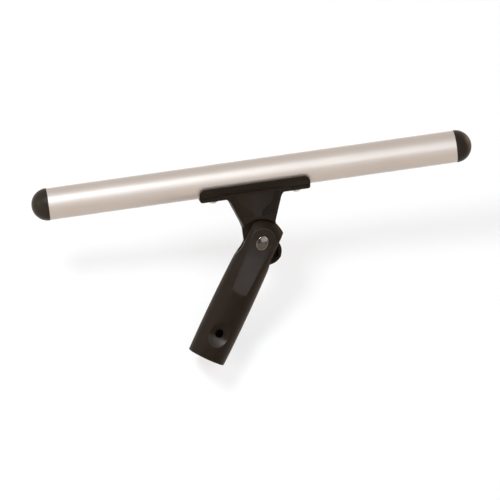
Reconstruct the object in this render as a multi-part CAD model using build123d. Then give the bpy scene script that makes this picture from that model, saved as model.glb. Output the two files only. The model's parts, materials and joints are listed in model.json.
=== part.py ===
from build123d import *
from math import asin, atan2, cos, hypot, radians, sin, sqrt, tan
import os

# Swivel T-bar of a window scrubber, in millimetres.
# The bar lies along X with +Z up towards it, and +Y points to the back, where the thumb lever is.
# The origin is the centre of the pole socket's mouth. At rest the handle leans by rest_lean.

# Layout of the whole tool
bar_length = 353.0
pivot_to_bar = 53.5
mouth_to_pivot = 102.0
rest_lean = 33.0
cut_overrun = 2.0

# Clearances
seat_gap = 0.05
running_gap = 0.05
swing_gap = 0.5
slot_gap = 1.0

# Bar tube and its end caps
tube_outer = 25.4
tube_wall = 1.2
cap_dome_length = 13.3
cap_proud = 0.2
cap_land = 1.2
cap_edge = 0.3
cap_spigot_length = 16.0
cap_spigot_lead = 1.5
cap_wall = 2.2
cap_hollow_depth = 6.0

# Saddle of the bracket, which hugs the underside of the bar
saddle_length = 88.6
saddle_wall = 2.5
saddle_lip_top = 4.9
saddle_lip_bottom = 12.0
saddle_corner = 5.0
saddle_low_corner = 2.2
flange_drop = 15.9
flange_depth = 15.4
flange_edge = 0.8

# Neck of the bracket
neck_depth = 18.0
neck_base_half_width = 13.6
neck_flare_start = 14.5
neck_flare_angle = 20.6
neck_top_fillet = 5.5
neck_foot_fillet = 14.0
neck_draft = 3.0
neck_edge = 1.2
neck_rim = 2.0
neck_recess = 0.7
badge_height = 0.5
badge_top_half_width = 15.0
badge_foot_half_width = 3.4
badge_corner = 2.5
badge_shoulder_rise = 8.0
badge_waist_rise = 3.5
back_rim = 2.4
back_pocket_depth = 5.0
back_rib = 2.2

# Tongue of the bracket
tongue_thickness = 6.0

# Handle
mouth_radius = 15.3
belly_radius = 15.8
belly_below_pivot = 67.0
shoulder_radius = 15.0
shoulder_below_pivot = 20.0
mouth_edge = 0.5
socket_radius = 10.5
socket_depth = 66.0

# Ears of the fork
ear_half_width = 12.4
ear_top_radius = 18.7
ear_neck_below_pivot = 9.5
ear_shoulder_blend = 14.0
ear_corner = 1.2
ear_round_rise = 2.0
ear_round_inner = 9.2
ear_round_depth = 4.9
ear_round_start = 18.0

# Flat facets on the front and the back of the handle
facet_depth_at_pivot = 12.0
facet_tilt = 3.19
facet_end_below_pivot = 45.6
facet_end_radius = 7.0
facet_half_width = 13.0

# Lock hole for the spring button of a pole
lock_hole_radius = 3.5
lock_hole_from_mouth = 22.6
lock_dish_radius = 16.0
lock_dish_depth = 4.1
lock_dish_offset = 0.8

# Pivot bolt with its oval head, and the stack on it
bolt_radius = 3.0
bolt_head_length = 12.0
bolt_head_width = 8.8
bolt_flange = 0.9
bolt_dome = 1.1
bolt_head_edge = 0.3
bolt_thread_reach = 21.0
bolt_tip_chamfer = 0.8
head_recess_depth = 1.0
head_gap = 0.25
bolt_hole_gap = 0.1
disc_radius = 12.2
disc_thickness = 0.8
bush_radius = 4.5
spot_face_radius = 7.8
spot_face_depth = 0.8
spring_washer_radius = 5.6
spring_washer_thickness = 1.3
spring_washer_split = 0.9
flat_washer_radius = 7.0
flat_washer_thickness = 1.0

# Thumb lever behind the fork
lever_turn = 27.8
lever_hub_radius = 9.2
lever_swell_radius = 10.4
lever_swell_reach = 7.0
lever_reach = 21.7
lever_tip_half_width = 6.8
lever_tip_corner = 2.6
lever_tip_bulge = 0.8
lever_tip_bulge_radius = 11.0
lever_wall = 2.2
lever_back_wall = 2.2
lever_depth = 8.7
lever_lift = 0.65
lever_back_edge = 1.8
lever_rib = 1.6
lever_boss_radius = 7.6
lever_boss_rise = 1.2
insert_radius = 5.0
insert_length = 7.6
insert_inset = 0.4

# Blind rivets that hold the saddle to the bar
rivet_spacing = 67.0
rivet_radius = 2.0
rivet_head_radius = 4.0
rivet_head_rise = 2.1
rivet_bulb_radius = 2.9
rivet_bulb_length = 3.0
rivet_bulb_lift = 0.05
mandrel_radius = 1.1
mandrel_head_radius = 1.7
mandrel_head_length = 1.6
mandrel_inset = 0.5

# Places that follow from the sizes above
tube_radius = tube_outer / 2
tube_inner_radius = tube_radius - tube_wall
tube_length = bar_length - 2 * cap_dome_length
saddle_inner_radius = tube_radius + seat_gap
saddle_outer_radius = saddle_inner_radius + saddle_wall
flange_underside = pivot_to_bar - flange_drop
pivot_x = mouth_to_pivot * sin(radians(rest_lean))
pivot_z = mouth_to_pivot * cos(radians(rest_lean))
upright = Pos(pivot_x, 0, pivot_z)
leaning = upright * Rot(0, rest_lean, 0)
step_radius = ear_top_radius + swing_gap
slot_half = tongue_thickness / 2 + disc_thickness + 2 * running_gap
slot_floor = neck_base_half_width + slot_gap
head_seat = facet_depth_at_pivot - head_recess_depth
spot_face = facet_depth_at_pivot - spot_face_depth
spring_washer_start = spot_face + seat_gap
flat_washer_start = spring_washer_start + spring_washer_thickness + seat_gap
lever_hub_start = flat_washer_start + flat_washer_thickness + seat_gap
lever_start = lever_hub_start + lever_lift
lever_end = lever_start + lever_depth
rivet_places = (-rivet_spacing / 2, rivet_spacing / 2)


def disc_y(radius, start, end):
    """A cylinder along Y from one depth to another."""
    return Pos(0, (start + end) / 2, 0) * Rot(90, 0, 0) * Cylinder(radius, end - start)


def prism_y(outline, start, end):
    """An outline in X and Z, drawn out along Y from one depth to another."""
    return extrude(Pos(0, start, 0) * (Plane.XZ * outline), amount=end - start, dir=(0, 1, 0))


def disc_z(radius, low, high):
    """A cylinder along Z from one height to another."""
    return Pos(0, 0, (low + high) / 2) * Cylinder(radius, high - low)


def make_bar_tube():
    """Round aluminium tube with a rivet hole below each rivet."""
    tube = Rot(0, 90, 0) * Cylinder(tube_radius, tube_length)
    tube -= Rot(0, 90, 0) * Cylinder(tube_inner_radius, tube_length + 2 * cut_overrun)
    for x in rivet_places:
        tube -= Pos(x, 0, 0) * disc_z(rivet_radius + seat_gap, -tube_outer, 0)
    return Pos(0, 0, pivot_to_bar) * tube


def make_end_cap():
    """Domed plug for the right end of the bar, with a hollow spigot inside the tube."""
    proud_radius = tube_radius + cap_proud
    spigot_radius = tube_inner_radius - seat_gap
    dome_height = cap_dome_length - cap_land
    dome_radius = (proud_radius ** 2 + dome_height ** 2) / (2 * dome_height)
    half_turn = asin(proud_radius / dome_radius) / 2
    dome_middle = (cap_dome_length - dome_radius * (1 - cos(half_turn)), dome_radius * sin(half_turn))
    lead_end = -cap_spigot_length + cap_spigot_lead
    profile = [
        Line((cap_dome_length, 0), (-cap_spigot_length, 0)),
        Line((-cap_spigot_length, 0), (-cap_spigot_length, spigot_radius - cap_edge)),
        Line((-cap_spigot_length, spigot_radius - cap_edge), (lead_end, spigot_radius)),
        Line((lead_end, spigot_radius), (0, spigot_radius)),
        Line((0, spigot_radius), (0, proud_radius - cap_edge)),
        Line((0, proud_radius - cap_edge), (cap_edge, proud_radius)),
        Line((cap_edge, proud_radius), (cap_land, proud_radius)),
        ThreePointArc((cap_land, proud_radius), dome_middle, (cap_dome_length, 0)),
    ]
    cap = revolve(make_face(profile), Axis.X)
    hollow_length = cap_spigot_length + cap_hollow_depth
    hollow = Rot(0, 90, 0) * Cylinder(spigot_radius - cap_wall, hollow_length + cut_overrun)
    hollow = Pos(cap_hollow_depth - (hollow_length + cut_overrun) / 2, 0, 0) * hollow
    return Pos(tube_length / 2, 0, pivot_to_bar) * (cap - hollow)


def saddle():
    """Trough that hugs the underside of the bar, on a flat flange."""
    ring_height = saddle_lip_bottom - saddle_lip_top
    ring_middle = -(saddle_lip_bottom + saddle_lip_top) / 2
    lips = Circle(saddle_outer_radius) & Pos(0, ring_middle) * Rectangle(2 * saddle_outer_radius, ring_height)
    flange = Pos(0, (-flange_drop - saddle_lip_top) / 2)
    flange = flange * Rectangle(flange_depth, flange_drop - saddle_lip_top)
    flange = fillet(flange.vertices().group_by(Axis.Y)[0], flange_edge)
    section = lips + flange - Circle(saddle_inner_radius)
    body = extrude(Plane.YZ * section, amount=saddle_length / 2, both=True)
    side = Pos(0, (-flange_drop - saddle_lip_top) / 2) * Rectangle(saddle_length, flange_drop - saddle_lip_top)
    side = fillet(side.vertices().group_by(Axis.Y)[-1], saddle_corner)
    side = fillet(side.vertices().group_by(Axis.Y)[0], saddle_low_corner)
    body &= prism_y(side, -saddle_outer_radius, saddle_outer_radius)
    return Pos(0, 0, pivot_to_bar) * body


def flare_half_width(height, inset):
    """Half width of the neck at a height above the pivot, with its side moved in by an inset."""
    slope = sin(radians(neck_flare_angle)) / cos(radians(neck_flare_angle))
    return neck_base_half_width + (height - neck_flare_start) * slope - inset / cos(radians(neck_flare_angle))


def neck_outline(inset, low, high):
    """Flared outline of the neck between two heights, moved in from its sides by an inset."""
    base = neck_base_half_width - inset
    top = flare_half_width(high, inset)
    if low >= neck_flare_start:
        foot = flare_half_width(low, inset)
        return make_face(Polyline((-foot, low), (-top, high), (top, high), (foot, low), close=True))
    corners = [(-base, low), (-base, neck_flare_start), (-top, high)]
    corners += [(-x, z) for x, z in reversed(corners)]
    return make_face(Polyline(*corners, close=True))


def badge_outline(low, high):
    """Flat panel that narrows to a ridge over the step."""
    shoulder = high - badge_shoulder_rise
    waist = low + badge_waist_rise
    right = [
        (badge_foot_half_width, low),
        (badge_foot_half_width, waist),
        (badge_top_half_width - badge_corner, shoulder),
        (badge_top_half_width, high),
    ]
    left = [(-x, z) for x, z in reversed(right)]
    face = make_face(Polyline(*right, *left, close=True))
    middle = [v for v in face.vertices() if low < v.Y < high]
    return fillet(middle, badge_corner)


def neck():
    """Thick flared neck between the step and the saddle, panelled in front and cored behind."""
    half = neck_depth / 2
    top = pivot_to_bar - saddle_lip_bottom + saddle_wall
    outline = neck_outline(0, 0, flange_underside)
    shelf = Pos(0, (flange_underside + top) / 2) * Rectangle(
        2 * flare_half_width(flange_underside, 0) + 3 * neck_top_fillet, top - flange_underside)
    outline += shelf
    inner = [v for v in outline.vertices() if abs(v.Y - flange_underside) < seat_gap]
    inner = sorted(inner, key=lambda v: abs(v.X))[:2]
    outline = fillet(inner, neck_top_fillet)
    foot = [v for v in outline.vertices() if abs(v.Y - neck_flare_start) < seat_gap]
    outline = fillet(foot, neck_foot_fillet)
    back_face = Pos(0, half, 0) * (Plane.XZ * outline)
    body = extrude(back_face, amount=neck_depth, dir=(0, -1, 0), taper=neck_draft)
    body = fillet(body.edges().group_by(Axis.Y)[0] + body.edges().group_by(Axis.Y)[-1], neck_edge)
    body -= disc_y(step_radius, -neck_depth, neck_depth)

    panel_low = step_radius + neck_rim
    panel_high = flange_underside + neck_rim
    front_rim = neck_rim + neck_depth * tan(radians(neck_draft))
    body -= prism_y(neck_outline(front_rim, panel_low, panel_high), -neck_depth, neck_recess - half)
    badge_face = neck_recess - half - badge_height
    body += prism_y(badge_outline(panel_low, panel_high), badge_face, neck_recess - half)
    pocket = prism_y(neck_outline(back_rim, panel_low, flange_underside), half - back_pocket_depth, neck_depth)
    rib_height = pivot_to_bar
    pocket -= Pos(0, half, rib_height / 2) * Box(back_rib, neck_depth, rib_height)
    body -= pocket
    bore = Rot(0, 90, 0) * Cylinder(saddle_inner_radius, saddle_length)
    return body - Pos(0, 0, pivot_to_bar) * bore


def tongue():
    """Thin plate with a round end that the fork's ears clasp."""
    half = tongue_thickness / 2
    reach = step_radius + neck_rim
    plate = Circle(neck_base_half_width) + Pos(0, reach / 2) * Rectangle(2 * neck_base_half_width, reach)
    return prism_y(plate, -half, half)


def make_bracket():
    """Saddle, neck and tongue in one moulding, bored for the rivets and the pivot bush."""
    body = saddle() + neck() + tongue()
    for x in rivet_places:
        body -= Pos(x, 0, pivot_to_bar) * disc_z(rivet_radius + seat_gap, -tube_outer, 0)
    return body - disc_y(bush_radius + seat_gap, -neck_depth, neck_depth)


def make_pivot_bush():
    """Plain bush in the tongue that turns on the bolt."""
    half = tongue_thickness / 2
    bush = disc_y(bush_radius, -half, half)
    return bush - disc_y(bolt_radius + running_gap, -neck_depth, neck_depth)


def handle_barrel():
    """Turned body of the handle: a gentle swell from the mouth to the shoulder."""
    mouth = -mouth_to_pivot
    profile = [
        Line((0, mouth), (mouth_radius - mouth_edge, mouth)),
        Line((mouth_radius - mouth_edge, mouth), (mouth_radius, mouth + mouth_edge)),
        ThreePointArc(
            (mouth_radius, mouth + mouth_edge),
            (belly_radius, -belly_below_pivot),
            (shoulder_radius, -shoulder_below_pivot)),
        Line((shoulder_radius, -shoulder_below_pivot), (shoulder_radius, ear_top_radius)),
        Line((shoulder_radius, ear_top_radius), (0, ear_top_radius)),
        Line((0, ear_top_radius), (0, mouth)),
    ]
    return revolve(Plane.XZ * make_face(profile), Axis.Z)


def fork_outline():
    """Front outline of the handle: full width up to the shoulder, then the narrower ears."""
    wide = belly_radius + cut_overrun
    low = -mouth_to_pivot - cut_overrun
    slope = (shoulder_below_pivot - ear_neck_below_pivot) / (shoulder_radius - ear_half_width)
    side = [
        (wide, low),
        (wide, -shoulder_below_pivot - slope * (wide - shoulder_radius)),
        (ear_half_width, -ear_neck_below_pivot),
        (ear_half_width, ear_top_radius),
    ]
    face = make_face(Polyline(*side, *[(-x, z) for x, z in reversed(side)], close=True))
    blend = [v for v in face.vertices() if abs(v.Y + ear_neck_below_pivot) < seat_gap]
    face = fillet(blend, ear_shoulder_blend)
    ends = Circle(ear_top_radius) + Pos(0, low / 2) * Rectangle(2 * wide, -low)
    face &= ends
    corners = [v for v in face.vertices() if v.Y > ear_half_width / 2 and abs(v.X) > ear_half_width / 2]
    return fillet(corners, ear_corner)


def facet_cutter():
    """What is cut away in front of the flat facet, which tilts with the taper of the fork."""
    low = -facet_end_below_pivot
    high = ear_top_radius + cut_overrun
    half = facet_half_width
    end = facet_end_radius
    outline = make_face([
        ThreePointArc((-end, low + end), (0, low), (end, low + end)),
        Line((end, low + end), (half, 0)),
        Line((half, 0), (half, high)),
        Line((half, high), (-half, high)),
        Line((-half, high), (-half, 0)),
        Line((-half, 0), (-end, low + end)),
    ])
    block_depth = belly_radius
    block = Box(4 * half, block_depth, 4 * mouth_to_pivot)
    block = Pos(0, -facet_depth_at_pivot, 0) * Rot(-facet_tilt, 0, 0) * Pos(0, -block_depth / 2, 0) * block
    return prism_y(outline, -2 * belly_radius, 0) & block


def ear_end_cutter():
    """What is cut away to round an ear's end down from the arc that ends its facet."""
    face = facet_depth_at_pivot
    low = face - ear_round_depth
    width = ear_top_radius - ear_round_rise - ear_round_inner
    outer = ear_round_inner + width
    chord_angle = atan2(ear_round_depth, width)
    bow = hypot(width, ear_round_depth) / 2 * tan((chord_angle - radians(ear_round_start)) / 2)
    middle_radius = ear_round_inner + width / 2 + bow * sin(chord_angle)
    middle_depth = face - ear_round_depth / 2 + bow * cos(chord_angle)
    far = outer + ear_round_depth
    profile = make_face([
        ThreePointArc((ear_round_inner, face), (middle_radius, middle_depth), (outer, low)),
        Line((outer, low), (far, low)),
        Line((far, low), (far, 2 * belly_radius)),
        Line((far, 2 * belly_radius), (ear_round_inner, 2 * belly_radius)),
        Line((ear_round_inner, 2 * belly_radius), (ear_round_inner, face)),
    ])
    ring = mirror(revolve(profile, Axis.Y), Plane.XZ)
    upper = Pos(0, 0, far / 2) * Box(2 * far, 4 * belly_radius, far)
    along_facet = Pos(0, -face, 0) * Rot(-facet_tilt, 0, 0) * Pos(0, face, ear_round_rise)
    return along_facet * (ring & upper)


def make_handle():
    """Socket tube and fork in one moulding."""
    body = handle_barrel() & prism_y(fork_outline(), -2 * belly_radius, 2 * belly_radius)
    front = facet_cutter() + ear_end_cutter()
    body -= front
    body -= mirror(front, Plane.XZ)

    slot_top = ear_top_radius + cut_overrun
    slot = Pos(0, 0, (slot_top - slot_floor) / 2) * Box(4 * belly_radius, 2 * slot_half, slot_top + slot_floor)
    body -= slot

    mouth = -mouth_to_pivot
    body -= disc_z(socket_radius, mouth - cut_overrun, mouth + socket_depth)

    hole_height = mouth + lock_hole_from_mouth
    body -= Pos(0, 0, hole_height) * disc_y(lock_hole_radius, -2 * belly_radius, 0)
    dish_middle = belly_radius - lock_dish_depth + lock_dish_radius
    body -= Pos(0, -dish_middle, hole_height - lock_dish_offset) * Sphere(lock_dish_radius)

    body -= disc_y(bolt_radius + bolt_hole_gap, -2 * belly_radius, 2 * belly_radius)
    recess = Ellipse(bolt_head_width / 2 + head_gap, bolt_head_length / 2 + head_gap)
    body -= prism_y(recess, -2 * belly_radius, -head_seat)
    body -= disc_y(spot_face_radius, spot_face, 2 * belly_radius)
    return body


def make_pivot_bolt():
    """Bolt with an oval domed head that sits in the oval recess of the front ear."""
    half_length = bolt_head_length / 2
    dome_radius = (half_length ** 2 + bolt_dome ** 2) / (2 * bolt_dome)
    head_start = -(head_seat + seat_gap) - bolt_flange
    oval = Ellipse(bolt_head_width / 2, half_length)
    dome = Pos(0, head_start - bolt_dome + dome_radius, 0) * Sphere(dome_radius)
    dome &= prism_y(oval, head_start - 2 * bolt_dome, head_start + bolt_flange)
    flange = prism_y(oval, head_start, head_start + bolt_flange)
    head = dome + flange
    rim = [e for e in head.edges() if head_start - bolt_dome < e.center().Y < head_start + seat_gap]
    head = fillet(rim, bolt_head_edge)
    shank = disc_y(bolt_radius, head_start, bolt_thread_reach)
    tip = shank.edges().sort_by(Axis.Y)[-1]
    shank = chamfer(tip, bolt_tip_chamfer)
    return head + shank


def make_friction_disc(side):
    """Thin disc between the tongue and one ear, in front for side -1 and behind for side 1."""
    inner = tongue_thickness / 2 + running_gap
    disc = disc_y(disc_radius, inner, inner + disc_thickness)
    disc -= disc_y(bolt_radius + bolt_hole_gap, 0, neck_depth)
    if side < 0:
        disc = mirror(disc, Plane.XZ)
    return disc


def make_spring_washer():
    """Split ring behind the rear ear."""
    ring = disc_y(spring_washer_radius, spring_washer_start, spring_washer_start + spring_washer_thickness)
    ring -= disc_y(bolt_radius + bolt_hole_gap, 0, 2 * neck_depth)
    split = Pos(-spring_washer_radius, spring_washer_start, 0)
    return ring - split * Box(2 * bolt_radius, 4 * spring_washer_thickness, spring_washer_split)


def make_flat_washer():
    """Plain washer under the lever's hub."""
    ring = disc_y(flat_washer_radius, flat_washer_start, flat_washer_start + flat_washer_thickness)
    return ring - disc_y(bolt_radius + bolt_hole_gap, 0, 2 * neck_depth)


def lever_outline():
    """Teardrop outline with a blunt, slightly bulging tip, its tip along +X."""
    tip_x = lever_reach - lever_tip_corner
    tip_z = lever_tip_half_width - lever_tip_corner
    circles = Circle(lever_hub_radius).edges()
    circles += (Pos(lever_swell_reach, 0) * Circle(lever_swell_radius)).edges()
    for side in (-1, 1):
        circles += (Pos(tip_x, side * tip_z) * Circle(lever_tip_corner)).edges()
    bulge_x = lever_reach + lever_tip_bulge - lever_tip_bulge_radius
    circles += (Pos(bulge_x, 0) * Circle(lever_tip_bulge_radius)).edges()
    return make_hull(circles)


def make_thumb_lever():
    """Hollow moulded lever: a hub for the insert, and a paddle whose pocket faces the fork."""
    outline = lever_outline()
    shell = prism_y(outline, lever_start, lever_end)
    shell = fillet(shell.edges().group_by(Axis.Y)[-1], lever_back_edge)
    pocket = prism_y(offset(outline, amount=-lever_wall), lever_start - cut_overrun, lever_end - lever_back_wall)
    rib_length = lever_reach
    rib = Pos(rib_length / 2, (lever_start + lever_end) / 2 + lever_lift, 0)
    rib = rib * Box(rib_length, lever_depth, lever_rib)
    body = shell - (pocket - rib)
    body += disc_y(lever_hub_radius - lever_wall / 2, lever_hub_start, lever_end - lever_back_wall)
    boss = disc_y(lever_boss_radius, lever_end - lever_back_wall, lever_end + lever_boss_rise)
    body += fillet(boss.edges().sort_by(Axis.Y)[-1], lever_boss_rise / 2)
    body -= disc_y(insert_radius + seat_gap, 0, lever_hub_start + insert_inset + insert_length + seat_gap)
    return Rot(0, lever_turn, 0) * body


def make_lever_insert():
    """Threaded metal insert in the lever's hub."""
    start = lever_hub_start + insert_inset
    insert = disc_y(insert_radius, start, start + insert_length)
    return insert - disc_y(bolt_radius + running_gap, 0, start + insert_length + cut_overrun)


def make_rivets():
    """Hollow blind rivets through the flange and the tube's wall."""
    low = flange_underside - seat_gap
    grip_top = pivot_to_bar - sqrt(tube_inner_radius ** 2 - rivet_bulb_radius ** 2) + rivet_bulb_lift
    dome_radius = (rivet_head_radius ** 2 + rivet_head_rise ** 2) / (2 * rivet_head_rise)
    head = Pos(0, 0, low - rivet_head_rise + dome_radius) * Sphere(dome_radius)
    head &= disc_z(rivet_head_radius, low - 2 * rivet_head_rise, low)
    rivet = head + disc_z(rivet_radius, low - rivet_head_rise / 2, grip_top)
    rivet += disc_z(rivet_bulb_radius, grip_top, grip_top + rivet_bulb_length)
    rivet -= disc_z(mandrel_radius + seat_gap, low - 2 * rivet_head_rise, grip_top + rivet_bulb_length + cut_overrun)
    return Compound([Pos(x, 0, 0) * rivet for x in rivet_places])


def make_mandrels():
    """Broken stems left inside the blind rivets."""
    low = flange_underside - rivet_head_rise + mandrel_inset
    grip_top = pivot_to_bar - sqrt(tube_inner_radius ** 2 - rivet_bulb_radius ** 2) + rivet_bulb_lift
    top = grip_top + rivet_bulb_length + seat_gap
    stem = disc_z(mandrel_radius, low, top) + disc_z(mandrel_head_radius, top, top + mandrel_head_length)
    return Compound([Pos(x, 0, 0) * stem for x in rivet_places])


right_cap = make_end_cap()
nodes = {
    "bar_tube": upright * make_bar_tube(),
    "end_cap_right": upright * right_cap,
    "end_cap_left": upright * mirror(right_cap, Plane.YZ),
    "bracket": upright * make_bracket(),
    "pivot_bush": upright * make_pivot_bush(),
    "saddle_rivets": upright * make_rivets(),
    "rivet_mandrels": upright * make_mandrels(),
    "handle": leaning * make_handle(),
    "pivot_bolt": leaning * make_pivot_bolt(),
    "friction_disc_front": leaning * make_friction_disc(-1),
    "friction_disc_rear": leaning * make_friction_disc(1),
    "spring_washer": leaning * make_spring_washer(),
    "flat_washer": leaning * make_flat_washer(),
    "thumb_lever": leaning * make_thumb_lever(),
    "lever_insert": leaning * make_lever_insert(),
}

os.makedirs("parts", exist_ok=True)
for name, shape in nodes.items():
    export_step(shape, "parts/" + name + ".step")
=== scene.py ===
import bmesh
import bpy
import json
import math
from bpy.props import FloatProperty, FloatVectorProperty, PointerProperty
from bpy.types import Operator, Panel, PropertyGroup
from mathutils import Matrix, Vector


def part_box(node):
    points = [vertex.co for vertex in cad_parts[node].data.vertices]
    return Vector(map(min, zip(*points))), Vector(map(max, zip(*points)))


bl_info = {
    "name": "Window scrubber T-bar",
    "version": (1, 0, 0),
    "blender": (4, 5, 0),
    "location": "3D View > Sidebar > T-bar",
    "description": "Dresses the packed frame of a window scrubber T-bar and sets its stage",
    "category": "Object",
}

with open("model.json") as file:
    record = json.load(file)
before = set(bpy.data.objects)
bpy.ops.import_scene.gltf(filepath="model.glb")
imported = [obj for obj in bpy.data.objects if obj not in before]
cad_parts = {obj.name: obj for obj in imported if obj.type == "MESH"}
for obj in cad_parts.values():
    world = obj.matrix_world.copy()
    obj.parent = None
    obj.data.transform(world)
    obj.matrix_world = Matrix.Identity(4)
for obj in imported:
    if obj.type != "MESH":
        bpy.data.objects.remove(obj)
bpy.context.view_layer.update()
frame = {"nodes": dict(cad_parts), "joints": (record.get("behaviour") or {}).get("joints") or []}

# Places and shapes of the tool that its finishes follow, in metres
swivel = Vector(frame["joints"][0]["pos_m"])
bar_low, bar_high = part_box("bar_tube")
bar_middle = (bar_low + bar_high) / 2
lean = math.radians(33.0)
along_handle = Vector((math.sin(lean), 0, math.cos(lean)))
across_handle = Vector((math.cos(lean), 0, -math.sin(lean)))
dish_down = 0.0802
dish_forward = 0.0277
dish_middle = swivel - dish_down * along_handle + Vector((0, -dish_forward, 0))
dish_radius = 0.016
facet_depth = 0.012
facet_end = 0.0457
facet_slope = math.tan(math.radians(3.19))
facet_fade = 0.003
# Depth of the painted highlight rim below the facet's plane
facet_rim_highlight = 0.00022
panel_depth = 0.0088
panel_low, panel_high = 0.016, 0.036
groove_depth = 0.0083

# Colours of the small metal and nylon pieces
rivet_colour = (0.62, 0.56, 0.5)
mandrel_colour = (0.4, 0.39, 0.38)
brass_colour = (0.68, 0.47, 0.2)
steel_colour = (0.5, 0.5, 0.49)
nylon_colour = (0.62, 0.58, 0.5)

# How densely a metal's fine lines are packed along each axis
even_lines = (1, 1, 1)
bolt_lines = (1, 8, 1)
drawn_lines = (3.0, 420.0, 420.0)

# Levels of the finishes
noise_low, noise_high = 0.3, 0.7
flat_level = 0.99
wear_samples = 6
plastic_shine = 0.09
dish_shine = 0.5
plastic_tint = (1.0, 0.88, 0.78, 1)
sheen_level = 0.08
sheen_roughness = 0.35
sheen_tint = (1.0, 0.70, 0.44, 1)
facet_fineness = 2.4
facet_matt = 0.14
rubbed_matt = -0.12
matt_change = 0.05
grains_per_depth = 6
coat_roughness = 0.35
nylon_roughness = 0.45
line_depth = 0.00005

# Backdrop and world
backdrop_front = -4.0
floor_bend = -0.25
floor_corner = 0.02
wall_top = 3.0
backdrop_side = 3.0
towards_front = Vector((0, -1, 0.5))
backdrop_glow = 0.671
backdrop_seen = (0.30, 0.28, 0.265)
backdrop_unseen = (0.64, 0.60, 0.57)
white = (1, 1, 1)
world_light = 0.18
world_behind = (0.2, 0.2, 0.2)

# Lamps, each turned and raised in degrees from the front of the pivot
cool = (0.77, 0.88, 1.0)
warm = (1.0, 0.72, 0.47)
lamps = (
    dict(name="key", turn=-21.0, height=37.7, distance=1.6, width=0.45, tall=0.45, power=23.0, colour=cool),
    dict(name="front", turn=17.0, height=12.0, distance=1.6, width=1.0, tall=0.7, power=9.0, colour=cool),
    dict(name="left", turn=-68.0, height=14.0, distance=1.5, width=1.0, tall=0.8, power=9.0, colour=white),
    dict(name="overhead", turn=0.0, height=72.0, distance=2.2, width=3.0, tall=1.6, power=2.5, colour=white),
    dict(name="low", turn=-18.0, height=-30.0, distance=1.5, width=0.9, tall=0.5, power=2.0, colour=white),
    dict(
        name="right rim", turn=120.0, height=8.0, distance=1.6, width=1.0, tall=1.0, power=36.0, colour=warm),
    dict(
        name="left rim", turn=-130.0, height=12.0, distance=1.8, width=1.0, tall=1.0, power=1.5, colour=warm),
)

# Camera, with its aim in pixels of the picture to the left of the pivot and below it
sensor_width = 36.0
picture_width = 500
aim_left, aim_down = 11.0, 8.45
farthest_seen = 50.0


class TBarFinish(PropertyGroup):
    """Colours and surface grain of the tool."""

    aluminium: FloatVectorProperty(
        name="Aluminium", description="Colour of the satin bar", subtype="COLOR", size=3,
        min=0, max=1, default=(0.505, 0.423, 0.360))
    plastic: FloatVectorProperty(
        name="Plastic", description="Colour of the moulded handle, bracket and lever", subtype="COLOR",
        size=3, min=0, max=1, default=(0.0115, 0.0067, 0.0038))
    facet: FloatVectorProperty(
        name="Facet", description="Colour of the finely textured flats of the handle",
        subtype="COLOR", size=3, min=0, max=1, default=(0.031, 0.0242, 0.0203))
    panel: FloatVectorProperty(
        name="Panel", description="Colour of the flat panel on the bracket", subtype="COLOR", size=3,
        min=0, max=1, default=(0.0170, 0.0140, 0.0118))
    cap: FloatVectorProperty(
        name="Cap", description="Colour of the bar's end caps", subtype="COLOR", size=3,
        min=0, max=1, default=(0.0205, 0.0145, 0.0100))
    chrome: FloatVectorProperty(
        name="Chrome", description="Colour of the bolt's plating", subtype="COLOR", size=3,
        min=0, max=1, default=(0.095, 0.078, 0.064))
    grain: FloatProperty(
        name="Grain", description="Size of the moulded grain", subtype="DISTANCE", unit="LENGTH",
        min=0.0001, default=0.0007)


class TBarStage(PropertyGroup):
    """Backdrop and camera."""

    azimuth: FloatProperty(
        name="Azimuth", description="Camera's turn round the tool", subtype="ANGLE",
        default=math.radians(-4.0))
    elevation: FloatProperty(
        name="Elevation", description="Camera's height above the level", subtype="ANGLE",
        default=math.radians(7.4))
    roll: FloatProperty(
        name="Roll", description="Camera's roll, which lifts the bar's right end in the picture",
        subtype="ANGLE", default=math.radians(7.64))
    distance: FloatProperty(
        name="Distance", description="Camera's distance from the pivot", subtype="DISTANCE",
        unit="LENGTH", default=3.5)
    lens: FloatProperty(
        name="Lens", description="Camera's focal length", subtype="DISTANCE_CAMERA", unit="CAMERA",
        default=317.3)
    floor_level: FloatProperty(
        name="Floor", description="Height of the floor, under the reach of the swung bar",
        subtype="DISTANCE", unit="LENGTH", default=-0.16)
    wall_depth: FloatProperty(
        name="Wall", description="Depth of the backdrop behind the tool", subtype="DISTANCE",
        unit="LENGTH", default=0.0205)
    wall_slope: FloatProperty(
        name="Slope", description="How far the backdrop leans back for each metre of height",
        default=0.9)


def new_material(name):
    """An empty material with its output, as (material, tree, output)."""
    material = bpy.data.materials.new(name)
    material.use_nodes = True
    tree = material.node_tree
    tree.nodes.clear()
    return material, tree, tree.nodes.new("ShaderNodeOutputMaterial")


def new_finish(name):
    """A material with one shader, as (material, tree, shader)."""
    material, tree, output = new_material(name)
    shader = tree.nodes.new("ShaderNodeBsdfPrincipled")
    tree.links.new(shader.outputs["BSDF"], output.inputs["Surface"])
    return material, tree, shader


def object_place(tree, centre=(0, 0, 0), scale=(1, 1, 1)):
    """Object coordinates, centred and scaled."""
    coordinates = tree.nodes.new("ShaderNodeTexCoord")
    mapping = tree.nodes.new("ShaderNodeMapping")
    mapping.inputs["Location"].default_value = [-c * s for c, s in zip(centre, scale)]
    mapping.inputs["Scale"].default_value = scale
    tree.links.new(coordinates.outputs["Object"], mapping.inputs["Vector"])
    return mapping.outputs["Vector"]


def noise(tree, place, scale, detail=3.0, roughness=0.5):
    """A noise pattern's grey value."""
    node = tree.nodes.new("ShaderNodeTexNoise")
    node.inputs["Scale"].default_value = scale
    node.inputs["Detail"].default_value = detail
    node.inputs["Roughness"].default_value = roughness
    tree.links.new(place, node.inputs["Vector"])
    return node.outputs["Fac"]


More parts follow.
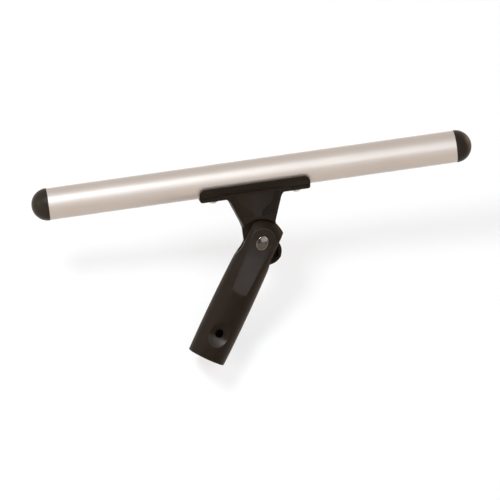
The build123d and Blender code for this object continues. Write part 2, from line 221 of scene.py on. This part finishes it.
def spread(tree, value, low, high, out_low=0.0, out_high=1.0):
    """A grey value stretched from one range to another."""
    node = tree.nodes.new("ShaderNodeMapRange")
    for socket, number in zip(("From Min", "From Max", "To Min", "To Max"), (low, high, out_low, out_high)):
        node.inputs[socket].default_value = number
    tree.links.new(value, node.inputs["Value"])
    return node.outputs["Result"]


def tones(tree, pattern, out_low=0.0, out_high=1.0):
    """The usual values of a noise pattern, stretched to another range."""
    return spread(tree, pattern, noise_low, noise_high, out_low, out_high)


def blend_colours(tree, factor, first, second):
    """Two colours, plain or from nodes, mixed by a grey value."""
    node = tree.nodes.new("ShaderNodeMix")
    node.data_type = "RGBA"
    colours = [s for s in node.inputs if s.type == "RGBA"]
    for socket, colour in zip(colours, (first, second)):
        if isinstance(colour, tuple):
            socket.default_value = (*colour, 1)
        else:
            tree.links.new(colour, socket)
    tree.links.new(factor, node.inputs["Factor"])
    return [s for s in node.outputs if s.type == "RGBA"][0]


def add_bump(tree, shader, height, strength, distance):
    """Surface relief from a grey value, on top of any relief that the shader has already."""
    node = tree.nodes.new("ShaderNodeBump")
    node.inputs["Strength"].default_value = strength
    node.inputs["Distance"].default_value = distance
    tree.links.new(height, node.inputs["Height"])
    if shader.inputs["Normal"].is_linked:
        tree.links.new(shader.inputs["Normal"].links[0].from_socket, node.inputs["Normal"])
    tree.links.new(node.outputs["Normal"], shader.inputs["Normal"])


def shade(colour, factor):
    """A colour made darker or lighter."""
    return tuple(min(1.0, c * factor) for c in colour)


def sums(tree, operation, first, second=None, third=None):
    """One step of arithmetic on grey values or plain numbers."""
    node = tree.nodes.new("ShaderNodeMath")
    node.operation = operation
    for socket, value in zip(node.inputs, (first, second, third)):
        if isinstance(value, (int, float)):
            socket.default_value = value
        elif value is not None:
            tree.links.new(value, socket)
    return node.outputs[0]


def along(tree, place, direction):
    """How far a place lies along a direction."""
    node = tree.nodes.new("ShaderNodeVectorMath")
    node.operation = "DOT_PRODUCT"
    node.inputs[1].default_value = direction
    tree.links.new(place, node.inputs[0])
    return node.outputs["Value"]


def beyond(tree, place, direction, start):
    """How far a place lies along a direction from a starting point."""
    return sums(tree, "SUBTRACT", along(tree, place, direction), start.dot(direction))


def near(tree, value, target, close, far):
    """One where a value is within a close distance of a target, falling to nothing at the far distance."""
    gap = sums(tree, "ABSOLUTE", sums(tree, "SUBTRACT", value, target))
    return spread(tree, gap, close, far, out_low=1.0, out_high=0.0)


def soft_edges(tree, radius):
    """The surface's normal, with its edges softened."""
    node = tree.nodes.new("ShaderNodeBevel")
    node.samples = wear_samples
    node.inputs["Radius"].default_value = radius
    return node.outputs[0]


def edge_wear_and_highlight(tree, soft, sharp):
    """One on corners and edges, where handling rubs the surface and where a painted highlight goes on metal.
    """
    shape = tree.nodes.new("ShaderNodeNewGeometry")
    turn = tree.nodes.new("ShaderNodeVectorMath")
    turn.operation = "DOT_PRODUCT"
    tree.links.new(soft, turn.inputs[0])
    tree.links.new(shape.outputs["Normal"], turn.inputs[1])
    return spread(tree, turn.outputs["Value"], sharp, flat_level, out_low=1.0, out_high=0.0)


def moulded_plastic(
        name, colour, grain, roughness, relief, pale=None, pale_colour=None, painted_shade_area=None, glossy=None):
    """Black moulded plastic: fine grain, faint cloudiness, rubbed edges, paler areas with their painted
    highlights, areas of painted shade, and glossy areas.
    """
    material, tree, shader = new_finish(name)
    place = object_place(tree)
    soft = soft_edges(tree, radius=0.0005)
    tree.links.new(soft, shader.inputs["Normal"])
    worn = edge_wear_and_highlight(tree, soft, sharp=0.75)
    scuff = spread(tree, noise(tree, place, scale=420.0, detail=5.0, roughness=0.7), low=0.42, high=0.66)
    tone = tones(tree, noise(tree, place, scale=60.0, detail=4.0))
    body = blend_colours(tree, tone, shade(colour, factor=0.86), shade(colour, factor=1.16))
    patches = noise(tree, place, scale=140.0, detail=5.0, roughness=0.65)
    matt = tones(tree, patches, roughness - matt_change, roughness + matt_change)
    height = noise(tree, place, scale=1 / grain, detail=3.0, roughness=0.6)
    if pale is not None:
        # Paler finish, with the painted highlights that the mask carries
        mask = pale(tree, place)
        paler = blend_colours(tree, tone, shade(pale_colour, factor=0.9), shade(pale_colour, factor=1.1))
        body = blend_colours(tree, mask, body, paler)
        matt = sums(tree, "MULTIPLY_ADD", mask, facet_matt, matt)
        finer = noise(tree, place, scale=facet_fineness / grain, detail=2.0, roughness=0.6)
        height = sums(tree, "MULTIPLY_ADD", mask, finer, height)
    if painted_shade_area is not None:
        # Painted shade: the area its mask gives is made darker
        body = blend_colours(tree, painted_shade_area(tree, place), body, shade(colour, factor=0.7))
    rub = sums(tree, "MULTIPLY", worn, scuff)
    body = blend_colours(tree, rub, body, shade(colour, factor=3.2))
    tree.links.new(body, shader.inputs["Base Color"])
    matt = sums(tree, "MULTIPLY_ADD", rub, rubbed_matt, matt)
    tree.links.new(matt, shader.inputs["Roughness"])
    shader.inputs["Specular IOR Level"].default_value = plastic_shine
    if glossy is not None:
        shine = spread(
            tree, glossy(tree, place), low=0.0, high=1.0, out_low=plastic_shine, out_high=dish_shine)
        tree.links.new(shine, shader.inputs["Specular IOR Level"])
    shader.inputs["Specular Tint"].default_value = plastic_tint
    shader.inputs["Sheen Weight"].default_value = sheen_level
    shader.inputs["Sheen Roughness"].default_value = sheen_roughness
    shader.inputs["Sheen Tint"].default_value = sheen_tint
    add_bump(tree, shader, height, relief, grain / grains_per_depth)
    return material


def facet_and_rim_highlight(tree, place):
    """The flat facets on the front and back of the handle in their finer finish, with a painted highlight
    along a thin rim round their top.
    """
    rise = beyond(tree, place, along_handle, swivel)
    side = sums(tree, "ABSOLUTE", beyond(tree, place, across_handle, swivel))
    depth = sums(tree, "MULTIPLY_ADD", rise, -facet_slope, facet_depth)
    across = sums(tree, "ABSOLUTE", along(tree, place, (0, 1, 0)))
    flat = near(tree, across, depth, close=0.00004, far=0.00014)
    below_bolt = spread(tree, rise, low=0.004, high=-0.016, out_low=0.12)
    above_end = spread(tree, rise, low=-facet_end, high=-facet_end + facet_fade)
    inside = spread(tree, side, low=0.0050, high=0.0095, out_low=1.0, out_high=0.45)
    lengthwise = sums(tree, "MULTIPLY", below_bolt, above_end)
    whole = sums(tree, "MULTIPLY", flat, sums(tree, "MULTIPLY", inside, lengthwise))
    # Painted highlight along a thin rim round the top of the facet
    rim = near(tree, across, sums(tree, "SUBTRACT", depth, facet_rim_highlight), close=0.00010, far=0.00018)
    upper = spread(tree, rise, low=-0.004, high=0.002, out_high=0.8)
    return sums(tree, "MAXIMUM", whole, sums(tree, "MULTIPLY", rim, upper))


def dish_area(tree, place):
    """The smooth lower wall of the dish round the lock hole."""
    reach = tree.nodes.new("ShaderNodeVectorMath")
    reach.operation = "DISTANCE"
    reach.inputs[1].default_value = dish_middle
    tree.links.new(place, reach.inputs[0])
    wall = near(tree, reach.outputs["Value"], dish_radius, close=0.00006, far=0.00014)
    rise = beyond(tree, place, along_handle, dish_middle)
    return sums(tree, "MULTIPLY", wall, spread(tree, rise, low=-0.0010, high=-0.0042))


def panel_and_middle_highlight(tree, place):
    """The raised flat panel on the front of the bracket in its paler finish, with a painted highlight along
    its middle, paler lower down.
    """
    flat = near(tree, along(tree, place, (0, 1, 0)), -panel_depth, close=0.00005, far=0.0001)
    side = sums(tree, "SUBTRACT", along(tree, place, (1, 0, 0)), swivel.x)
    # Painted highlight, strongest along the panel's middle
    middle_highlight = spread(
        tree, sums(tree, "ABSOLUTE", side), low=0.001, high=0.010, out_low=1.0, out_high=0.2)
    level = spread(
        tree, along(tree, place, (0, 0, 1)), swivel.z + panel_low, swivel.z + panel_high,
        out_low=0.8, out_high=0.5)
    return sums(tree, "MULTIPLY", flat, sums(tree, "MULTIPLY", middle_highlight, level))


def groove_painted_shade(tree, place):
    """The sunk ground round the panel on the front of the bracket, given painted shade, deepest at its right.
    """
    sunk = near(tree, along(tree, place, (0, 1, 0)), -groove_depth, close=0.00005, far=0.0001)
    left, right = swivel.x - 0.004, swivel.x + 0.006
    return sums(tree, "MULTIPLY", sunk, spread(
        tree, along(tree, place, (1, 0, 0)), left, right, out_low=0.25))


def satin_aluminium(name, colour, centre):
    """Anodised tube: drawn lengthwise, with very fine lines and a soft sheen."""
    material, tree, shader = new_finish(name)
    shader.inputs["Metallic"].default_value = 1.0
    shader.inputs["Coat Weight"].default_value = 1.0
    shader.inputs["Coat Roughness"].default_value = coat_roughness
    drawn = object_place(tree, centre, drawn_lines)
    lines = noise(tree, drawn, scale=5.0, detail=4.0, roughness=0.6)
    place = object_place(tree, centre)
    tone = tones(tree, noise(tree, place, scale=22.0, detail=3.0))
    body = blend_colours(tree, tone, shade(colour, factor=0.97), shade(colour, factor=1.02))
    tree.links.new(body, shader.inputs["Base Color"])
    tree.links.new(tones(tree, lines, out_low=0.53, out_high=0.59), shader.inputs["Roughness"])
    fine = noise(tree, place, scale=2600.0, detail=2.0)
    add_bump(tree, shader, fine, strength=0.12, distance=line_depth)
    add_bump(tree, shader, lines, strength=0.10, distance=line_depth)
    return material


def turned_metal(name, colour, roughness, centre, axis_scale, relief=0.1, worn_edge_highlight=1.5, edge_radius=0.0003):
    """Turned or stamped metal with faint tool lines round its axis, and edges made brighter by rubbed wear
    and a painted highlight.
    """
    material, tree, shader = new_finish(name)
    shader.inputs["Metallic"].default_value = 1.0
    lines = noise(tree, object_place(tree, centre, axis_scale), scale=40.0, detail=3.0)
    tone = tones(tree, noise(tree, object_place(tree), scale=180.0, detail=4.0))
    body = blend_colours(tree, tone, shade(colour, factor=0.85), shade(colour, factor=1.05))
    # Edges made brighter: rubbed wear, and a painted highlight where the factor is large
    worn = edge_wear_and_highlight(tree, soft_edges(tree, edge_radius), sharp=0.94)
    body = blend_colours(tree, worn, body, shade(colour, worn_edge_highlight))
    tree.links.new(body, shader.inputs["Base Color"])
    smoothest, roughest = roughness - 0.05, roughness + 0.06
    tree.links.new(tones(tree, lines, smoothest, roughest), shader.inputs["Roughness"])
    add_bump(tree, shader, lines, relief, line_depth)
    return material


def natural_nylon(name, colour):
    """Thin turned nylon, faintly cloudy."""
    material, tree, shader = new_finish(name)
    place = object_place(tree)
    cloud = tones(tree, noise(tree, place, scale=260.0, detail=4.0))
    body = blend_colours(tree, cloud, shade(colour, factor=0.85), colour)
    tree.links.new(body, shader.inputs["Base Color"])
    shader.inputs["Roughness"].default_value = nylon_roughness
    grain = noise(tree, place, scale=1800.0, detail=2.0)
    add_bump(tree, shader, grain, strength=0.15, distance=line_depth)
    return material


def dress(node, material):
    """Gives a CAD node its material."""
    for slot in frame["nodes"][node].material_slots:
        slot.material = material


class TBAR_OT_bar(Operator):
    """Finish the aluminium bar and its end caps"""

    bl_idname = "tbar.bar"
    bl_label = "Bar and caps"

    def execute(self, context):
        finish = context.scene.tbar_finish
        dress("bar_tube", satin_aluminium("satin_aluminium", finish.aluminium, bar_middle))
        plastic = moulded_plastic(
            "cap_plastic", tuple(finish.cap), finish.grain, roughness=0.4, relief=0.12)
        dress("end_cap_left", plastic)
        dress("end_cap_right", plastic)
        return {"FINISHED"}


class TBAR_OT_bracket(Operator):
    """Finish the bracket with its rivets and bush"""

    bl_idname = "tbar.bracket"
    bl_label = "Bracket"

    def execute(self, context):
        finish = context.scene.tbar_finish
        dress("bracket", moulded_plastic(
            "bracket_plastic", tuple(finish.plastic), finish.grain, roughness=0.5, relief=0.2,
            pale=panel_and_middle_highlight, pale_colour=tuple(finish.panel), painted_shade_area=groove_painted_shade))
        dress("saddle_rivets", turned_metal(
            "rivet_aluminium", rivet_colour, roughness=0.34, centre=bar_middle, axis_scale=even_lines))
        dress("rivet_mandrels", turned_metal(
            "mandrel_steel", mandrel_colour, roughness=0.4, centre=bar_middle, axis_scale=even_lines))
        dress("pivot_bush", turned_metal(
            "bush_brass", brass_colour, roughness=0.3, centre=swivel, axis_scale=bolt_lines))
        return {"FINISHED"}


class TBAR_OT_handle(Operator):
    """Finish the handle"""

    bl_idname = "tbar.handle"
    bl_label = "Handle"

    def execute(self, context):
        finish = context.scene.tbar_finish
        dress("handle", moulded_plastic(
            "handle_plastic", tuple(finish.plastic), finish.grain, roughness=0.5, relief=0.2,
            pale=facet_and_rim_highlight, pale_colour=tuple(finish.facet), glossy=dish_area))
        return {"FINISHED"}


class TBAR_OT_pivot(Operator):
    """Finish the pivot bolt, its washers and discs"""

    bl_idname = "tbar.pivot"
    bl_label = "Pivot"

    def execute(self, context):
        finish = context.scene.tbar_finish
        # The bolt's edges carry a painted highlight ring, six times its plating's brightness
        dress("pivot_bolt", turned_metal(
            "bolt_chrome", tuple(finish.chrome), roughness=0.17, centre=swivel, axis_scale=even_lines,
            relief=0.05, worn_edge_highlight=6.0, edge_radius=0.0009))
        steel = turned_metal(
            "washer_steel", steel_colour, roughness=0.32, centre=swivel, axis_scale=bolt_lines)
        dress("spring_washer", steel)
        dress("flat_washer", steel)
        nylon = natural_nylon("disc_nylon", nylon_colour)
        dress("friction_disc_front", nylon)
        dress("friction_disc_rear", nylon)
        return {"FINISHED"}


class TBAR_OT_lever(Operator):
    """Finish the thumb lever and its insert"""

    bl_idname = "tbar.lever"
    bl_label = "Thumb lever"

    def execute(self, context):
        finish = context.scene.tbar_finish
        colour = shade(tuple(finish.plastic), factor=1.25)
        dress("thumb_lever", moulded_plastic(
            "lever_plastic", colour, finish.grain, roughness=0.48, relief=0.2))
        dress("lever_insert", turned_metal(
            "insert_brass", brass_colour, roughness=0.3, centre=swivel, axis_scale=bolt_lines))
        return {"FINISHED"}


def seen_rays(tree):
    """One for camera, glossy and transmission rays, which all see the plain white background."""
    path = tree.nodes.new("ShaderNodeLightPath")
    value = path.outputs["Is Camera Ray"]
    for ray in ("Is Glossy Ray", "Is Transmission Ray"):
        value = sums(tree, "MAXIMUM", value, path.outputs[ray])
    return value


def diffuse(tree, colour):
    """A matt white or tinted surface."""
    node = tree.nodes.new("ShaderNodeBsdfDiffuse")
    node.inputs["Color"].default_value = (*colour, 1)
    return node.outputs[0]


def mix_shaders(tree, factor, first, second):
    """Two shaders mixed by a grey value."""
    node = tree.nodes.new("ShaderNodeMixShader")
    tree.links.new(factor, node.inputs["Fac"])
    tree.links.new(first, node.inputs[1])
    tree.links.new(second, node.inputs[2])
    return node.outputs[0]


def pale_backdrop(name):
    """Plain white surface that keeps a faint shadow and can't be seen from behind."""
    material, tree, output = new_material(name)
    glow = tree.nodes.new("ShaderNodeEmission")
    glow.inputs["Color"].default_value = (*white, 1)
    glow.inputs["Strength"].default_value = backdrop_glow
    seen = tree.nodes.new("ShaderNodeAddShader")
    tree.links.new(diffuse(tree, backdrop_seen), seen.inputs[0])
    tree.links.new(glow.outputs[0], seen.inputs[1])
    front = mix_shaders(tree, seen_rays(tree), diffuse(tree, backdrop_unseen), seen.outputs[0])
    path = tree.nodes.new("ShaderNodeLightPath")
    side = tree.nodes.new("ShaderNodeNewGeometry")
    hidden = sums(tree, "MAXIMUM", side.outputs["Backfacing"], path.outputs["Is Shadow Ray"])
    clear = tree.nodes.new("ShaderNodeBsdfTransparent")
    whole = mix_shaders(tree, hidden, front, clear.outputs[0])
    tree.links.new(whole, output.inputs["Surface"])
    return material


def white_surround(scene):
    """World that is seen white ahead and grey behind the camera, and lights all sides alike."""
    world = bpy.data.worlds.new("surround")
    world.use_nodes = True
    tree = world.node_tree
    tree.nodes.clear()
    output = tree.nodes.new("ShaderNodeOutputWorld")
    place = tree.nodes.new("ShaderNodeTexCoord")
    behind = spread(tree, along(tree, place.outputs["Generated"], (0.0, -1.0, 0.0)), low=0.0, high=0.5)
    seen = tree.nodes.new("ShaderNodeBackground")
    tree.links.new(blend_colours(tree, behind, white, world_behind), seen.inputs["Color"])
    light = tree.nodes.new("ShaderNodeBackground")
    light.inputs["Color"].default_value = (*white, 1)
    light.inputs["Strength"].default_value = world_light
    whole = mix_shaders(tree, seen_rays(tree), light.outputs[0], seen.outputs[0])
    tree.links.new(whole, output.inputs["Surface"])
    scene.world = world


def outward(turn, height):
    """The way out from the pivot at a turn to the right of the front and a height above the level."""
    return Vector((
        math.sin(turn) * math.cos(height), -math.cos(turn) * math.cos(height), math.sin(height)))


def soft_lamp(name, turn, height, distance, width, tall, power, colour):
    """Soft box aimed at the pivot, its turn and height in degrees."""
    data = bpy.data.lights.new(name, "AREA")
    data.shape = "RECTANGLE"
    data.size = width
    data.size_y = tall
    data.energy = power
    data.color = colour
    lamp = bpy.data.objects.new(name, data)
    bpy.context.scene.collection.objects.link(lamp)
    place = swivel + distance * outward(math.radians(turn), math.radians(height))
    lamp.location = place
    lamp.rotation_mode = "QUATERNION"
    lamp.rotation_quaternion = (swivel - place).to_track_quat("-Z", "Y")


def sweep_backdrop(stage):
    """One sheet from the floor up the leaning wall, rolled with the picture."""
    profile = [
        (backdrop_front, stage.floor_level),
        (floor_bend, stage.floor_level),
        (stage.wall_depth - floor_corner, stage.floor_level),
        (stage.wall_depth, stage.floor_level + floor_corner),
        (stage.wall_depth, 0.0),
        (stage.wall_depth + wall_top * stage.wall_slope, wall_top),
    ]
    mesh = bmesh.new()
    previous = None
    for y, z in profile:
        vertex = mesh.verts.new((-backdrop_side, y, z))
        if previous is not None:
            mesh.edges.new((previous, vertex))
        previous = vertex
    swept = bmesh.ops.extrude_edge_only(mesh, edges=mesh.edges[:])
    ends = [v for v in swept["geom"] if isinstance(v, bmesh.types.BMVert)]
    bmesh.ops.translate(mesh, verts=ends, vec=(2 * backdrop_side, 0, 0))
    bmesh.ops.rotate(mesh, verts=mesh.verts[:], cent=swivel, matrix=Matrix.Rotation(stage.roll, 3, "Y"))
    for face in mesh.faces:
        face.normal_update()
        if face.normal.dot(towards_front) < 0:
            face.normal_flip()
        face.smooth = True
    data = bpy.data.meshes.new("backdrop")
    mesh.to_mesh(data)
    mesh.free()
    return data


def aim_camera(scene, stage):
    """Camera rolled about its own line of sight, with the pivot a little off the picture's middle."""
    data = bpy.data.cameras.new("camera")
    data.sensor_width = sensor_width
    data.lens = stage.lens
    data.clip_end = farthest_seen
    camera = bpy.data.objects.new("camera", data)
    scene.collection.objects.link(camera)
    back = outward(stage.azimuth, stage.elevation)
    level = back.to_track_quat("Z", "Y")
    turn = level @ Vector((0, 0, 1))
    facing = Matrix.Rotation(-stage.roll, 4, turn).to_quaternion() @ level
    right, up = facing @ Vector((1, 0, 0)), facing @ Vector((0, 1, 0))
    pixel = sensor_width / stage.lens * stage.distance / picture_width
    aim = swivel - right * (aim_left * pixel) - up * (aim_down * pixel)
    camera.location = aim + back * stage.distance
    camera.rotation_mode = "QUATERNION"
    camera.rotation_quaternion = facing
    scene.camera = camera


class TBAR_OT_stage(Operator):
    """Make the backdrop, the lamps and the camera"""

    bl_idname = "tbar.stage"
    bl_label = "Stage"

    def execute(self, context):
        stage = context.scene.tbar_stage
        data = sweep_backdrop(stage)
        backdrop = bpy.data.objects.new("backdrop", data)
        context.scene.collection.objects.link(backdrop)
        data.materials.append(pale_backdrop("pale_backdrop"))
        white_surround(context.scene)
        for lamp in lamps:
            soft_lamp(**lamp)
        aim_camera(context.scene, stage)
        context.scene.view_settings.view_transform = "Standard"
        return {"FINISHED"}


class TBAR_PT_panel(Panel):
    """Steps and sizes of the tool"""

    bl_idname = "TBAR_PT_panel"
    bl_label = "T-bar"
    bl_space_type = "VIEW_3D"
    bl_region_type = "UI"
    bl_category = "T-bar"

    def draw(self, context):
        for operator in OPERATORS:
            self.layout.operator(operator.bl_idname)
        for group in (context.scene.tbar_finish, context.scene.tbar_stage):
            for name in group.__annotations__:
                self.layout.prop(group, name)


OPERATORS = (
    TBAR_OT_bar,
    TBAR_OT_bracket,
    TBAR_OT_handle,
    TBAR_OT_pivot,
    TBAR_OT_lever,
    TBAR_OT_stage,
)
CLASSES = (TBarFinish, TBarStage, *OPERATORS, TBAR_PT_panel)


def register():
    """Adds the steps, the sizes and the panel."""
    for cls in CLASSES:
        bpy.utils.register_class(cls)
    bpy.types.Scene.tbar_finish = PointerProperty(type=TBarFinish)
    bpy.types.Scene.tbar_stage = PointerProperty(type=TBarStage)


def unregister():
    """Takes the steps, the sizes and the panel away again."""
    del bpy.types.Scene.tbar_stage
    del bpy.types.Scene.tbar_finish
    for cls in reversed(CLASSES):
        bpy.utils.unregister_class(cls)


def main():
    """Runs every step in order."""
    register()
    bpy.ops.tbar.bar()
    bpy.ops.tbar.bracket()
    bpy.ops.tbar.handle()
    bpy.ops.tbar.pivot()
    bpy.ops.tbar.lever()
    bpy.ops.tbar.stage()


if __name__ == "__main__":
    main()
